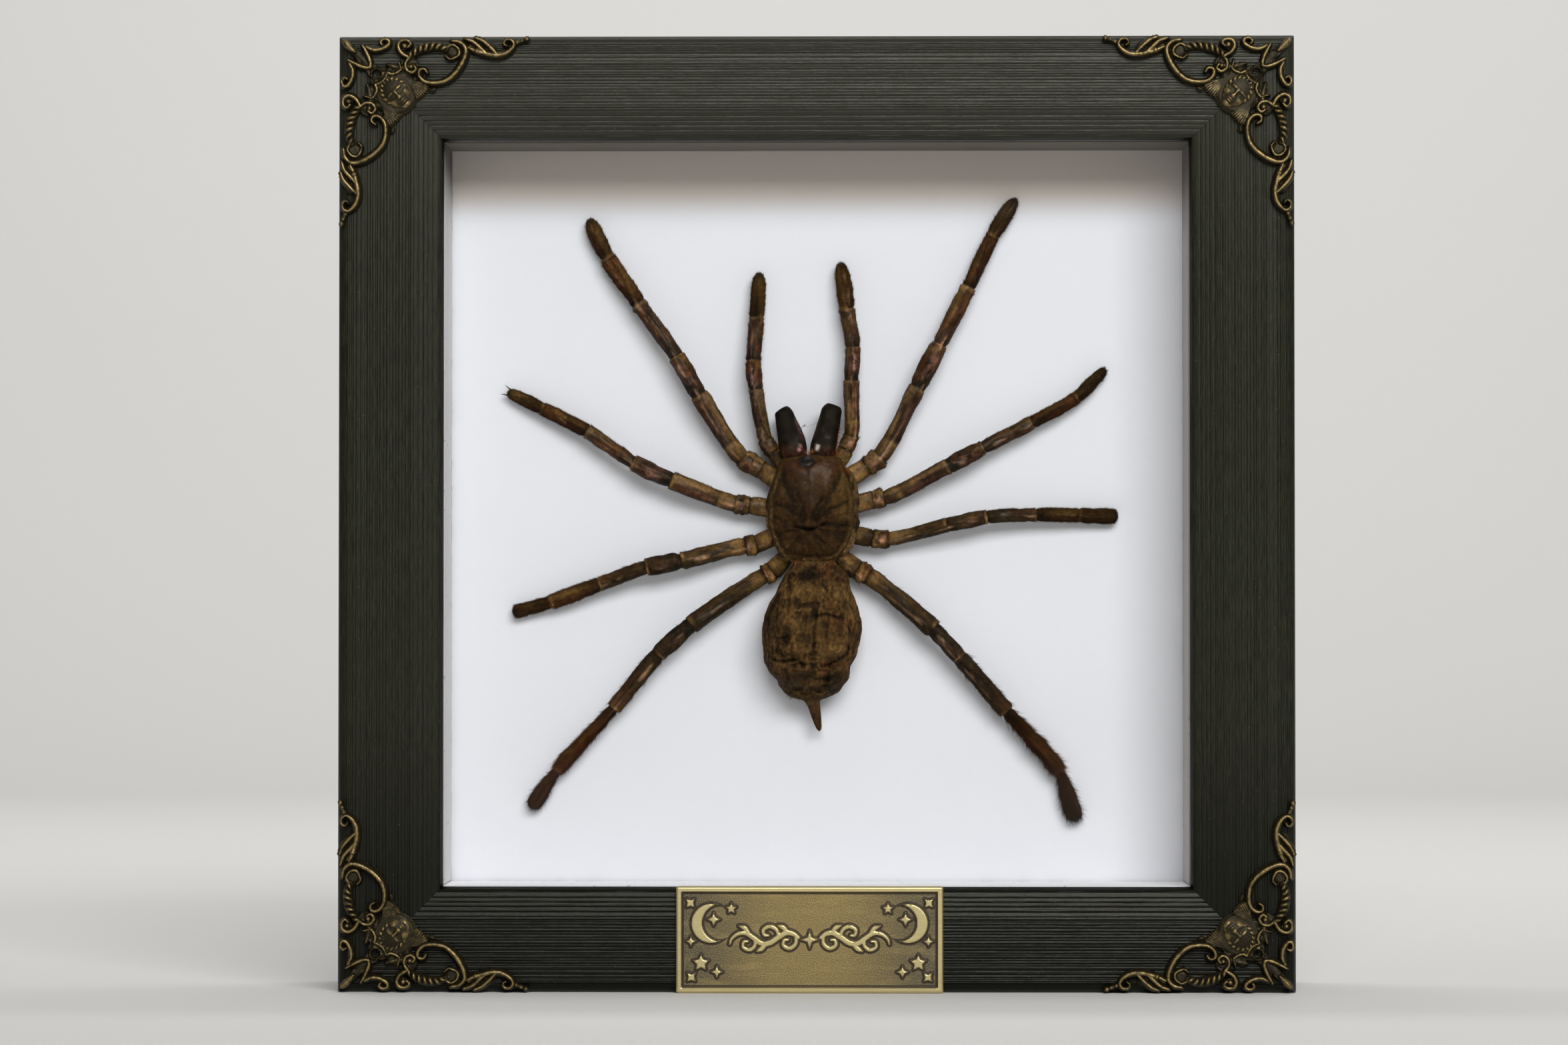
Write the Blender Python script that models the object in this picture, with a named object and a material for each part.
# A framed tarantula specimen: a square shadow-box frame of combed moulding with cast
# corner ornaments and a nameplate, a clear pane, a white-lined box, and a dried spider
# fixed to the backing board.
# X runs to the viewer's right, Y away from the viewer and Z up. Z = 0 is the surface that
# the frame stands on. All sizes below are in millimetres.

import math
import random

import bmesh
import bpy
from mathutils import Matrix, Vector

MM = 0.001
GAP = 0.3                      # clearance between pieces that touch

# Frame
FRAME_SIZE = 200.0             # outer side of the square
RAIL_DEPTH = 32.0              # front to back
RAIL_WIDTH = 21.9              # outer side to sight edge
RABBET_WIDTH = 6.3             # how far the lip overhangs the box inside
LIP_BACK = 4.2                 # depth of the lip's rear face behind the rails' front
COMB_START = 3.0               # distances from the outer side
COMB_END = 16.4
COMB_PITCH = 0.68
COMB_DEPTH = 0.28
MITRE_SLACK = 0.21             # pulls each mitred end back along the rail

# Box behind the pane, as depths behind the rails' front
PANE_THICKNESS = 2.0
BOARD_FRONT = 25.0
BOARD_THICKNESS = 3.0
LINER_THICKNESS = 6.0
LINER_SHADOW_GAP = 0.6         # open joint between the liner and the backing board
BACK_PANEL_THICKNESS = 2.5
TAB_SIZE = (12.0, 0.5, 10.0)
TAB_OFFSET = 42.0              # of each tab from the middle of its side

# Hardware
ORNAMENT_PROUD = 2.2
HANGER_SIZE = (46.0, 1.0, 11.0)
HANGER_TEETH = 9
NAIL_HEAD_RADIUS = 2.0
NAIL_HEAD_RISE = 0.7
PLATE_SIZE = (55.6, 1.1, 22.2)
PLATE_CENTRE_X = -1.35
PLATE_RIM = 1.2
PLATE_RELIEF = 0.45

HALF = FRAME_SIZE / 2
SIGHT = HALF - RAIL_WIDTH                                    # half the opening
BOX_HALF = SIGHT + RABBET_WIDTH - GAP                        # half the sheets in the rabbet
OVERALL_DEPTH = ORNAMENT_PROUD + RAIL_DEPTH + 2 * GAP + HANGER_SIZE[1] + NAIL_HEAD_RISE
FACE_Y = ORNAMENT_PROUD + GAP - OVERALL_DEPTH / 2            # the rails' front face
BOARD_Y = FACE_Y + BOARD_FRONT

# Spider. Places are (x, z) from the middle of the frame, heights stand off the board.
BODY_X = -1.2
SHELL_RIM = 6.6                # height of the carapace's edge, which overhangs the coxae
SHELL_OVERHANG = 0.58          # width of the underside as a share of the carapace's
CARAPACE_STATIONS = (          # z, half width, top, bottom; the first and last are the ends
    (12.7, 0.0, 6.6, 6.6), (12.4, 5.4, 8.8, 4.2), (10.6, 6.9, 10.6, 2.4), (7.0, 8.2, 11.4, 1.4),
    (2.5, 9.0, 11.2, 1.0), (-1.8, 8.9, 10.2, 1.0), (-5.6, 8.0, 9.4, 1.2), (-8.6, 6.4, 8.6, 1.9),
    (-9.9, 4.6, 7.8, 4.0), (-10.2, 0.0, 6.6, 6.6))
ABDOMEN_MARGIN = 0.45          # height of the abdomen's widest line between bottom and top
ABDOMEN_STATIONS = (           # z, centre x, half width, top, bottom
    (-10.6, -0.4, 0.0, 6.4, 6.4), (-11.0, -0.4, 1.8, 7.6, 5.2), (-13.0, -0.6, 4.9, 9.8, 4.6),
    (-15.7, -0.8, 7.6, 11.9, 3.0), (-19.6, -0.9, 9.8, 13.2, 1.2), (-24.4, -1.1, 10.6, 13.8, 0.8),
    (-29.0, -1.4, 9.5, 13.0, 0.8), (-33.4, -0.7, 8.3, 11.6, 1.1), (-36.6, -1.0, 6.2, 9.6, 1.6),
    (-38.9, -1.1, 3.6, 7.2, 2.4), (-40.0, -0.9, 1.8, 5.7, 3.0), (-42.8, -0.1, 1.2, 5.2, 3.0),
    (-45.4, 0.4, 0.5, 4.5, 3.5), (-45.9, 0.5, 0.0, 4.0, 4.0))
# Each limb runs from its coxa to its tip, with the places of its joints.
LEG_HEIGHTS = (3.7, 4.2, 5.0, 8.0, 7.5, 5.0, 3.0, 1.75)
LEG_RADII = (1.6, 1.7, 1.95, 1.9, 1.7, 1.5, 1.4)             # one for each segment
LEGS = {
    "leg_1_left": ((-7.2, 6.7), (-11.9, 9.8), (-15.9, 12.1), (-25.1, 25.7), (-29.9, 33.8),
                   (-38.0, 45.3), (-44.7, 55.0), (-48.7, 63.2)),
    "leg_1_right": ((5.0, 6.7), (10.6, 10.3), (13.5, 12.5), (21.5, 27.2), (26.1, 36.3),
                    (32.3, 48.7), (37.6, 59.7), (42.4, 67.5)),
    "leg_2_left": ((-7.9, 1.3), (-14.3, 2.1), (-17.5, 2.5), (-31.1, 7.4), (-39.1, 11.2),
                   (-49.0, 17.9), (-58.6, 22.8), (-66.0, 26.4)),
    "leg_2_right": ((5.6, 1.7), (12.0, 3.4), (14.4, 3.6), (28.0, 10.5), (35.4, 14.3),
                    (45.8, 19.7), (55.4, 25.1), (61.5, 31.1)),
    "leg_3_left": ((-7.9, -4.0), (-12.9, -6.2), (-15.3, -6.5), (-28.9, -9.8), (-36.3, -11.2),
                   (-46.3, -14.7), (-56.7, -18.5), (-64.7, -20.6)),
    "leg_3_right": ((5.5, -3.6), (11.9, -4.9), (15.4, -5.1), (27.8, -2.1), (36.2, -0.4),
                    (46.7, 0.1), (56.1, -0.1), (63.9, -0.3)),
    "leg_4_left": ((-6.6, -8.9), (-9.6, -12.1), (-11.2, -12.9), (-26.8, -23.5), (-33.8, -29.7),
                   (-43.4, -41.2), (-55.4, -54.5), (-60.9, -62.3)),
    "leg_4_right": ((4.6, -8.6), (8.7, -11.9), (11.1, -12.9), (24.9, -24.3), (30.5, -30.4),
                    (40.5, -41.8), (51.7, -54.7), (55.1, -64.9)),
}
PALP_HEIGHTS = (3.7, 4.4, 5.2, 6.2, 5.5, 4.2, 2.2)
PALP_RADII = (1.4, 1.45, 1.6, 1.55, 1.55, 1.45)
PALPS = {
    "pedipalp_left": ((-7.0, 10.9), (-9.3, 13.4), (-10.9, 16.2), (-13.0, 26.7), (-13.5, 33.0),
                      (-12.8, 42.2), (-12.3, 51.6)),
    "pedipalp_right": ((4.6, 10.9), (6.3, 14.1), (7.4, 17.0), (7.4, 28.7), (7.7, 35.7),
                       (6.5, 44.0), (5.1, 53.8)),
}
CHELICERAE = {                 # x, z, height, radius down the middle of each
    "chelicera_left": ((-5.2, 13.2, 6.2, 1.7), (-5.6, 14.2, 6.0, 2.1), (-6.4, 17.5, 5.6, 2.0),
                       (-7.2, 20.6, 5.0, 1.8), (-7.7, 22.4, 4.6, 1.2)),
    "chelicera_right": ((0.9, 13.2, 6.2, 1.7), (1.3, 14.2, 6.0, 2.2), (2.2, 17.5, 5.6, 2.2),
                        (3.1, 21.0, 5.0, 2.1), (3.6, 23.1, 4.6, 1.4)),
}

# Corner ornament: strokes of one arm from the frame's corner, as (along, inward) points in
# millimetres, with half widths and a ridge height. The other arm mirrors them.
STROKES = {
    "ribbon_fold": (((5.5, 2.0), (6.3, 3.7), (7.2, 5.4), (7.5, 7.4)), (0.5, 0.8, 0.8, 0.7), 1.5),
    "ribbon_curl": (((5.9, 2.9), (8.5, 3.3), (10.3, 2.8), (11.3, 1.9), (10.6, 1.1), (9.6, 1.6)),
                    (0.7, 0.6, 0.6, 0.6, 0.5, 0.4), 1.4),
    "wreath": (((7.2, 6.6), (10.2, 6.9), (12.7, 7.6), (15.6, 7.4)), (0.9, 1.1, 1.2, 0.8), 1.3),
    "bar_curl": (((16.4, 3.9), (13.8, 3.9), (12.9, 2.6), (13.6, 1.3), (15.1, 1.2), (15.5, 2.2)),
                 (0.7, 0.7, 0.6, 0.6, 0.6, 0.5), 1.5),
    "bar": (((14.9, 7.6), (14.9, 5.5), (17.0, 3.4), (20.3, 2.4), (23.4, 2.8)),
            (0.7, 0.8, 0.9, 0.9, 0.9), 1.8),
    "c_scroll": (((19.3, 7.7), (18.4, 7.2), (17.7, 8.4), (18.7, 9.7), (21.9, 9.9), (25.0, 8.0),
                  (27.1, 4.6), (26.3, 1.5)), (0.4, 0.5, 0.6, 0.7, 0.8, 0.9, 1.0, 0.7), 1.7),
    "petal": (((23.0, 2.6), (25.0, 3.4), (26.9, 3.6)), (1.0, 1.7, 0.9), 1.4),
    "upper_leaf": (((26.2, 1.4), (28.8, 1.3), (31.6, 2.4), (34.6, 4.0)),
                   (0.7, 0.8, 1.3, 0.7), 1.5),
    "lower_leaf": (((26.8, 2.6), (30.2, 4.2), (34.4, 4.5), (37.2, 2.8), (37.0, 1.4), (35.6, 1.7)),
                   (0.7, 0.8, 0.8, 0.7, 0.5, 0.4), 1.6),
    "beads": (((37.0, 2.6), (38.4, 1.8), (39.3, 1.4), (40.5, 0.9)), (0.5, 0.6, 0.5, 0.6), 1.2),
    "shell_fan": (((14.4, 9.6), (16.2, 10.9), (18.4, 12.2)), (0.9, 1.8, 1.9), 1.2),
}
MASK_CENTRE = 12.2             # along both arms, so it sits on the diagonal
MASK_HALF_LENGTH = 4.4
MASK_HALF_WIDTH = 3.3
SCREW_HOLE_CENTRE = 8.5
SCREW_HOLE_RADIUS = 0.8

# Raised devices on the nameplate, in millimetres from its middle
CRESCENT = (23.0, 2.2, 3.9, 3.2, 2.0)     # x, z, outer radius, inner radius, shift
FIVE_POINT_STARS = ((18.8, 5.1, 1.2), (18.6, -6.2, 1.5))
FOUR_POINT_STARS = ((16.2, -3.0, 0.9), (24.9, -1.6, 0.7), (15.9, 2.9, 0.9))
FLOURISH_HALF_LENGTH = 13.5

COLOURS = {                    # base colour, roughness, metallic
    "moulding": ((0.045, 0.048, 0.035), 0.5, 0.0),
    "acrylic": ((0.95, 0.97, 0.98), 0.05, 0.0),
    "foam_board": ((0.80, 0.80, 0.80), 0.8, 0.0),
    "hardboard": ((0.22, 0.13, 0.07), 0.8, 0.0),
    "zinc": ((0.55, 0.55, 0.55), 0.4, 1.0),
    "antique_bronze": ((0.20, 0.15, 0.07), 0.4, 0.9),
    "cuticle": ((0.05, 0.03, 0.018), 0.6, 0.0),
}


def clearScene():
    for thing in list(bpy.data.objects):
        bpy.data.objects.remove(thing, do_unlink=True)


def makeCollection(name):
    collection = bpy.data.collections.new(name)
    bpy.context.scene.collection.children.link(collection)
    return collection


def makeMaterial(name):
    colour, roughness, metallic = COLOURS[name]
    material = bpy.data.materials.new(name)
    material.use_nodes = True
    surface = material.node_tree.nodes["Principled BSDF"]
    surface.inputs["Base Color"].default_value = (*colour, 1.0)
    surface.inputs["Roughness"].default_value = roughness
    surface.inputs["Metallic"].default_value = metallic
    return material


def addObject(name, data, materialName, collection, place=(0.0, 0.0, 0.0), turn=0.0):
    # place is in millimetres, and turn is about Y, in degrees
    thing = bpy.data.objects.new(name, data)
    if not data.materials:
        data.materials.append(materials[materialName])
    thing.location = Vector(place) * MM
    thing.rotation_euler = (0.0, math.radians(turn), 0.0)
    collection.objects.link(thing)
    return thing


def meshFrom(name, form):
    # millimetres become metres here
    bmesh.ops.transform(form, matrix=Matrix.Scale(MM, 4), verts=form.verts)
    bmesh.ops.recalc_face_normals(form, faces=form.faces)
    mesh = bpy.data.meshes.new(name)
    form.to_mesh(mesh)
    form.free()
    return mesh


def addBox(name, low, high, materialName, collection):
    form = bmesh.new()
    bmesh.ops.create_cube(form, size=1.0)
    size = Vector(high) - Vector(low)
    bmesh.ops.transform(form, matrix=Matrix.Diagonal((*size, 1.0)), verts=form.verts)
    middle = (Vector(high) + Vector(low)) / 2
    return addObject(name, meshFrom(name, form), materialName, collection, middle)


def extrudeOutline(form, outline, thickness):
    # outline lies in X and Z, and the solid grows towards the viewer, to -Y
    corners = [form.verts.new((x, 0.0, z)) for x, z in outline]
    face = form.faces.new(corners)
    raised = bmesh.ops.extrude_face_region(form, geom=[face])
    moved = [item for item in raised["geom"] if isinstance(item, bmesh.types.BMVert)]
    bmesh.ops.translate(form, vec=(0.0, -thickness, 0.0), verts=moved)


def railProfile():
    # (distance from the outer side, depth behind the front), once round the section
    outer = [(0.0, RAIL_DEPTH), (0.0, 2.4), (0.35, 1.1), (1.1, 0.35), (2.4, 0.0)]
    chance = random.Random(7)
    comb = []
    start = COMB_START
    while start < COMB_END - COMB_PITCH / 2:
        pitch = COMB_PITCH * chance.uniform(0.75, 1.25)
        comb.append((start, COMB_DEPTH * chance.uniform(0.6, 1.0)))
        comb.append((start + pitch * chance.uniform(0.4, 0.6), 0.0))
        start += pitch
    inner = [(COMB_END + 0.3, 0.45), (18.1, 0.55), (18.3, 0.85), (19.6, 1.05), (19.8, 1.4),
             (21.2, 1.8), (RAIL_WIDTH, 2.5), (RAIL_WIDTH, LIP_BACK)]
    rabbet = RAIL_WIDTH - RABBET_WIDTH
    return outer + comb + inner + [(rabbet, LIP_BACK), (rabbet, RAIL_DEPTH)]


def buildRail():
    # the section is extruded along X, then each end follows the mitre
    form = bmesh.new()
    section = railProfile()
    start = [form.verts.new((-1.0, FACE_Y + depth, inward - HALF)) for inward, depth in section]
    face = form.faces.new(start)
    bmesh.ops.extrude_face_region(form, geom=[face])
    for vertex in form.verts:
        if vertex in start:
            side = -1.0
        else:
            side = 1.0
        vertex.co.x = side * (-vertex.co.z - MITRE_SLACK)
    return meshFrom("rail", form)


def addFrame(collection):
    rail = buildRail()
    for quarter, side in enumerate(("bottom", "left", "top", "right")):
        addObject(f"rail_{side}", rail, "moulding", collection, (0.0, 0.0, HALF), 90.0 * quarter)


def addBoxInside(collection):
    def sheet(name, front, thickness, materialName):
        low = (-BOX_HALF, FACE_Y + front, HALF - BOX_HALF)
        high = (BOX_HALF, FACE_Y + front + thickness, HALF + BOX_HALF)
        return addBox(name, low, high, materialName, collection)

    paneFront = LIP_BACK + GAP
    boardBack = BOARD_FRONT + BOARD_THICKNESS
    sheet("clear_pane", paneFront, PANE_THICKNESS, "acrylic")
    sheet("backing_board", BOARD_FRONT, BOARD_THICKNESS, "foam_board")
    sheet("back_panel", boardBack + GAP, BACK_PANEL_THICKNESS, "hardboard")

    linerFront = FACE_Y + paneFront + PANE_THICKNESS + GAP
    linerBack = BOARD_Y - LINER_SHADOW_GAP
    outer = SIGHT + LINER_THICKNESS
    short = SIGHT - GAP
    for side, sign in (("bottom", -1), ("top", 1)):
        edges = sorted((sign * SIGHT, sign * outer))
        addBox(f"liner_{side}", (-outer, linerFront, HALF + edges[0]),
               (outer, linerBack, HALF + edges[1]), "foam_board", collection)
    for side, sign in (("left", -1), ("right", 1)):
        edges = sorted((sign * SIGHT, sign * outer))
        addBox(f"liner_{side}", (edges[0], linerFront, HALF - short),
               (edges[1], linerBack, HALF + short), "foam_board", collection)


def addTabs(collection):
    # flat tongues that reach from the rabbet's wall over the back panel
    width, thickness, reach = TAB_SIZE
    form = bmesh.new()
    bmesh.ops.create_cube(form, size=1.0)
    depth = FACE_Y + BOARD_FRONT + BOARD_THICKNESS + BACK_PANEL_THICKNESS + 2 * GAP
    size = Matrix.Diagonal((width, thickness, reach, 1.0))
    bmesh.ops.transform(form, matrix=size, verts=form.verts)
    place = Vector((0.0, depth + thickness / 2, reach / 2 - BOX_HALF))
    bmesh.ops.translate(form, vec=place, verts=form.verts)
    tab = meshFrom("tab", form)
    for quarter, side in enumerate(("bottom", "left", "top", "right")):
        for end, sign in (("a", -1), ("b", 1)):
            turn = Matrix.Rotation(math.radians(90.0 * quarter), 4, "Y")
            along = turn @ Vector((sign * TAB_OFFSET, 0.0, 0.0))
            addObject(f"tab_{side}_{end}", tab, "zinc", collection,
                      Vector((0.0, 0.0, HALF)) + along, 90.0 * quarter)


def addHanger(collection):
    # a strip with a toothed lower edge and the heads of its two nails
    width, thickness, height = HANGER_SIZE
    toothSpan = width * 0.5
    outline = [(-width / 2, height / 2), (-width / 2, 0.0), (-toothSpan / 2, -height / 2)]
    for tooth in range(HANGER_TEETH):
        left = -toothSpan / 2 + toothSpan * tooth / HANGER_TEETH
        outline.append((left + toothSpan / HANGER_TEETH * 0.5, -height / 2 + 1.6))
        outline.append((left + toothSpan / HANGER_TEETH, -height / 2))
    outline += [(width / 2, 0.0), (width / 2, height / 2)]
    form = bmesh.new()
    extrudeOutline(form, outline, -thickness)
    strip = addObject("hanger", meshFrom("hanger", form), "zinc", collection,
                      (0.0, FACE_Y + RAIL_DEPTH + GAP, FRAME_SIZE - 8.0))
    for side in (-1, 1):
        head = bmesh.new()
        bmesh.ops.create_cone(head, cap_ends=True, segments=12, radius1=NAIL_HEAD_RADIUS,
                              radius2=NAIL_HEAD_RADIUS * 0.7, depth=2 * NAIL_HEAD_RISE)
        turn = Matrix.Rotation(math.radians(-90.0), 4, "X")
        bmesh.ops.transform(head, matrix=turn, verts=head.verts)
        place = (side * width * 0.41, thickness, height * 0.22)
        bmesh.ops.translate(head, vec=place, verts=head.verts)
        cutter = addCutter(f"nail_head_{side}", meshFrom("nail_head", head), strip.location / MM)
        joinSolid(strip, cutter, "UNION")


def addCutter(name, mesh, place=(0.0, 0.0, 0.0)):
    cutter = bpy.data.objects.new(name, mesh)
    cutter.location = Vector(place) * MM
    cutter.hide_render = True
    cutter.display_type = "WIRE"
    cutters.objects.link(cutter)
    return cutter


def joinSolid(target, tool, operation):
    modifier = target.modifiers.new(tool.name, "BOOLEAN")
    modifier.operation = operation
    modifier.solver = "EXACT"
    modifier.use_self = True
    modifier.object = tool


def bakeModifiers(thing):
    # keeps the evaluated mesh, so that copies of the object can share it
    depsgraph = bpy.context.evaluated_depsgraph_get()
    depsgraph.update()
    mesh = bpy.data.meshes.new_from_object(thing.evaluated_get(depsgraph))
    thing.modifiers.clear()
    thing.data = mesh
    return mesh


def strokeForm(points, halfWidths, height, sink):
    # a ridge with a triangular section that follows the points and runs sink below zero
    form = bmesh.new()
    path = [Vector((x, y)) for x, y in points]
    rings = []
    for index, here in enumerate(path):
        ahead = path[min(index + 1, len(path) - 1)] - here
        behind = here - path[max(index - 1, 0)]
        along = (ahead.normalized() + behind.normalized()).normalized()
        across = Vector((-along.y, along.x)) * halfWidths[index] * (height + sink) / height
        left = here + across
        right = here - across
        rings.append((form.verts.new((left.x, left.y, -sink)),
                      form.verts.new((here.x, here.y, height)),
                      form.verts.new((right.x, right.y, -sink))))
    for first, second in zip(rings, rings[1:]):
        for corner in range(3):
            following = (corner + 1) % 3
            form.faces.new((first[corner], first[following], second[following], second[corner]))
    form.faces.new(rings[0])
    form.faces.new(rings[-1])
    return form


def ornamentTools():
    # every solid that the casting is joined from, in the plane of the frame's face
    tools = []
    sink = 0.5
    for points, widths, height in STROKES.values():
        for mirrored in (False, True):
            sink += 0.013
            if mirrored:
                line = [(y, x) for x, y in points]
            else:
                line = points
            tools.append(strokeForm(line, widths, height, sink))
    tools.append(strokeForm(((1.6, 1.6), (2.6, 2.6), (5.0, 5.0), (8.0, 8.0)),
                            (0.5, 1.0, 0.7, 1.6), 1.6, sink + 0.013))
    mask = bmesh.new()
    bmesh.ops.create_uvsphere(mask, u_segments=14, v_segments=8, radius=1.0)
    shape = (Matrix.Translation((MASK_CENTRE, MASK_CENTRE, 0.0))
             @ Matrix.Rotation(math.radians(45.0), 4, "Z")
             @ Matrix.Diagonal((MASK_HALF_LENGTH, MASK_HALF_WIDTH, ORNAMENT_PROUD, 1.0)))
    bmesh.ops.transform(mask, matrix=shape, verts=mask.verts)
    tools.append(mask)
    return tools


def buildOrnament():
    # The casting is made lying flat, with its corner at the origin, then stood up so that
    # its arms run along +X and +Z and its relief faces the viewer.
    tools = [addCutter(f"casting_{index}", meshFrom("casting", form))
             for index, form in enumerate(ornamentTools())]
    casting = tools.pop()
    for tool in tools:
        joinSolid(casting, tool, "UNION")
    slab = bmesh.new()
    bmesh.ops.create_cube(slab, size=1.0)
    span = 60.0
    bmesh.ops.transform(slab, matrix=Matrix.Diagonal((span, span, 4.0, 1.0)), verts=slab.verts)
    bmesh.ops.translate(slab, vec=(span / 3, span / 3, -2.0), verts=slab.verts)
    joinSolid(casting, addCutter("casting_floor", meshFrom("slab", slab)), "DIFFERENCE")
    drill = bmesh.new()
    bmesh.ops.create_cone(drill, cap_ends=True, segments=10, radius1=SCREW_HOLE_RADIUS,
                          radius2=SCREW_HOLE_RADIUS, depth=8.0)
    bmesh.ops.translate(drill, vec=(SCREW_HOLE_CENTRE, SCREW_HOLE_CENTRE, 0.0), verts=drill.verts)
    joinSolid(casting, addCutter("casting_drill", meshFrom("drill", drill)), "DIFFERENCE")
    mesh = bakeModifiers(casting)
    mesh.transform(Matrix.Translation(Vector((-HALF, -HALF, 0.0)) * MM))
    mesh.transform(Matrix.Rotation(math.radians(90.0), 4, "X"))
    mesh.transform(Matrix.Translation(Vector((0.0, FACE_Y - GAP, 0.0)) * MM))
    mesh.name = "ornament"
    return mesh


def addOrnaments(collection):
    ornament = buildOrnament()
    corners = ("bottom_left", "top_left", "top_right", "bottom_right")
    for quarter, corner in enumerate(corners):
        addObject(f"corner_ornament_{corner}", ornament, "antique_bronze", collection,
                  (0.0, 0.0, HALF), 90.0 * quarter)


def starOutline(x, z, radius, points, inner):
    outline = []
    for corner in range(2 * points):
        angle = math.pi / 2 + math.pi * corner / points
        reach = radius * (1.0 if corner % 2 == 0 else inner)
        outline.append((x + reach * math.cos(angle), z + reach * math.sin(angle)))
    return outline


def crescentOutline(side):
    # the part of one disc that a second, shifted disc leaves
    x, z, outer, inner, shift = CRESCENT
    outline = []
    meet = (outer ** 2 - inner ** 2 + shift ** 2) / (2 * shift)
    outerAngle = math.acos(meet / outer)
    innerAngle = math.acos((meet - shift) / inner)
    for step in range(11):
        angle = outerAngle + (2 * math.pi - 2 * outerAngle) * step / 10
        outline.append((outer * math.cos(angle), outer * math.sin(angle)))
    for step in range(1, 8):
        angle = -innerAngle - (2 * math.pi - 2 * innerAngle) * step / 8
        outline.append((shift + inner * math.cos(angle), inner * math.sin(angle)))
    return [(side * (along - x), z + up) for along, up in outline]


def addNameplate(collection):
    width, thickness, height = PLATE_SIZE
    blank = bmesh.new()
    bmesh.ops.create_cube(blank, size=1.0)
    size = Matrix.Diagonal((width, thickness + PLATE_RELIEF, height, 1.0))
    bmesh.ops.transform(blank, matrix=size, verts=blank.verts)
    middle = (PLATE_CENTRE_X, FACE_Y - GAP - (thickness + PLATE_RELIEF) / 2, height / 2 + 0.05)
    plate = addObject("nameplate", meshFrom("nameplate", blank), "antique_bronze", collection,
                      middle)

    field = bmesh.new()
    bmesh.ops.create_cube(field, size=1.0)
    inside = (width - 2 * PLATE_RIM, 4.0, height - 2 * PLATE_RIM)
    bmesh.ops.transform(field, matrix=Matrix.Diagonal((*inside, 1.0)), verts=field.verts)
    front = middle[1] - (thickness + PLATE_RELIEF) / 2
    place = (middle[0], front + PLATE_RELIEF - 2.0, middle[2])
    joinSolid(plate, addCutter("plate_field", meshFrom("field", field), place), "DIFFERENCE")

    outlines = []
    for side in (-1, 1):
        outlines.append(crescentOutline(side))
        for x, z, radius in FIVE_POINT_STARS:
            outlines.append(starOutline(side * x, z, radius, 5, 0.45))
        for x, z, radius in FOUR_POINT_STARS:
            outlines.append(starOutline(side * x, z, radius, 4, 0.35))
        flourish = [(side * 2.2, 0.35), (side * FLOURISH_HALF_LENGTH, 0.1),
                    (side * FLOURISH_HALF_LENGTH, -0.1), (side * 2.2, -0.35)]
        outlines.append(flourish)
    outlines.append(starOutline(0.0, 0.0, 1.9, 4, 0.45))
    for index, outline in enumerate(outlines):
        form = bmesh.new()
        extrudeOutline(form, outline, PLATE_RELIEF + 0.3)
        raised = (middle[0], front + PLATE_RELIEF + 0.3, middle[2])
        joinSolid(plate, addCutter(f"plate_device_{index}", meshFrom("device", form), raised),
                  "UNION")


def boardPoint(x, z, height):
    return Vector((x, BOARD_Y - height, HALF + z)) * MM


def addTube(name, points, radii, materialName, collection):
    # a curve with a radius at each point, in metres
    curve = bpy.data.curves.new(name, "CURVE")
    curve.dimensions = "3D"
    curve.bevel_depth = MM
    curve.bevel_resolution = 1
    curve.use_fill_caps = True
    curve.render_resolution_u = 0
    spline = curve.splines.new("POLY")
    spline.points.add(len(points) - 1)
    for point, place, radius in zip(spline.points, points, radii):
        point.co = (*place, 1.0)
        point.radius = radius
    return addObject(name, curve, materialName, collection)


def limbPoints(joints, heights, segmentRadii):
    # each segment swells a little between its narrower joints, and the last one tapers
    centres = [boardPoint(x, z, height) for (x, z), height in zip(joints, heights)]
    points = []
    radii = []
    last = len(segmentRadii) - 1
    for index, radius in enumerate(segmentRadii):
        start = centres[index]
        run = centres[index + 1] - start
        longEnough = run.length > 5.0 * MM
        neck = min(radius, segmentRadii[max(index - 1, 0)]) * 0.86
        points.append(start)
        radii.append(neck)
        if longEnough:
            points.append(start + run * 0.14)
            radii.append(radius)
            points.append(start + run * 0.84)
            radii.append(radius * (0.9 if index == last else 0.98))
    points.append(centres[-1])
    radii.append(segmentRadii[-1] * 0.5)
    return points, radii


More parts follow.
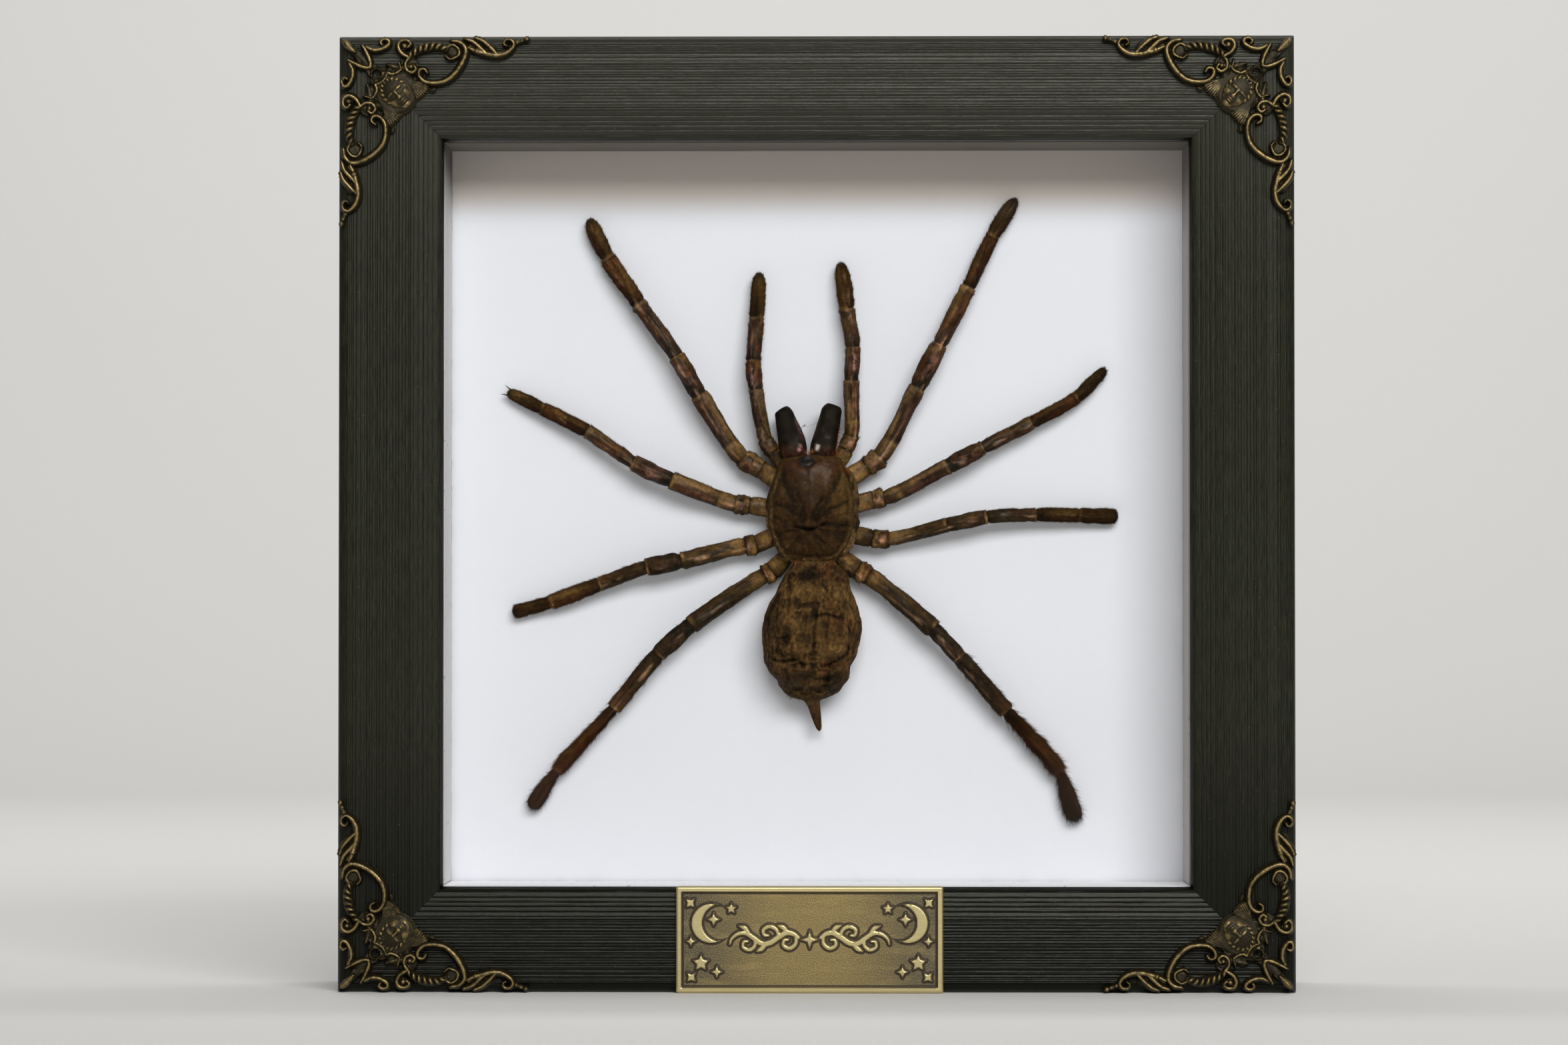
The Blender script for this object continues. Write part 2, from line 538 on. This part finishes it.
def addSpiderBody(name, stations, centres, rim, collection):
    # A sphere whose rings take the width and height of each station down the body. With a
    # rim, the upper half is a shell that overhangs a narrower underside.
    rings = len(stations) - 1
    form = bmesh.new()
    bmesh.ops.create_uvsphere(form, u_segments=14, v_segments=rings, radius=1.0)
    for vertex in form.verts:
        polar = math.acos(max(-1.0, min(1.0, vertex.co.z)))
        ring = round(polar / math.pi * rings)
        z, halfWidth, top, bottom = stations[ring]
        around = math.atan2(vertex.co.y, vertex.co.x)
        if rim is None:
            margin = bottom + (top - bottom) * ABDOMEN_MARGIN
        else:
            margin = rim
        across = halfWidth * math.cos(around)
        lift = math.sin(around)
        if lift >= -1e-6:
            height = margin + (top - margin) * lift
        else:
            height = margin + (margin - bottom) * lift
            if rim is not None:
                across *= SHELL_OVERHANG
                height = min(height, rim) if lift < -0.6 else rim - GAP
        vertex.co = boardPoint(centres[ring] + across, z, height) / MM
    return addObject(name, meshFrom(name, form), "cuticle", collection)


def addSpider(collection):
    addSpiderBody("cephalothorax", CARAPACE_STATIONS, [BODY_X] * len(CARAPACE_STATIONS),
                  SHELL_RIM, collection)
    stations = [(z, width, top, bottom) for z, _, width, top, bottom in ABDOMEN_STATIONS]
    centres = [centre for _, centre, _, _, _ in ABDOMEN_STATIONS]
    addSpiderBody("abdomen", stations, centres, None, collection)
    for name, joints in LEGS.items():
        points, radii = limbPoints(joints, LEG_HEIGHTS, LEG_RADII)
        addTube(name, points, radii, "cuticle", collection)
    for name, joints in PALPS.items():
        points, radii = limbPoints(joints, PALP_HEIGHTS, PALP_RADII)
        addTube(name, points, radii, "cuticle", collection)
    for name, line in CHELICERAE.items():
        points = [boardPoint(x, z, height) for x, z, height, _ in line]
        addTube(name, points, [radius for *_, radius in line], "cuticle", collection)


clearScene()
parts = makeCollection("framed_tarantula")
cutters = makeCollection("cutters")
materials = {name: makeMaterial(name) for name in COLOURS}

addFrame(parts)
addBoxInside(parts)
addTabs(parts)
addHanger(parts)
addOrnaments(parts)
addNameplate(parts)
addSpider(parts)
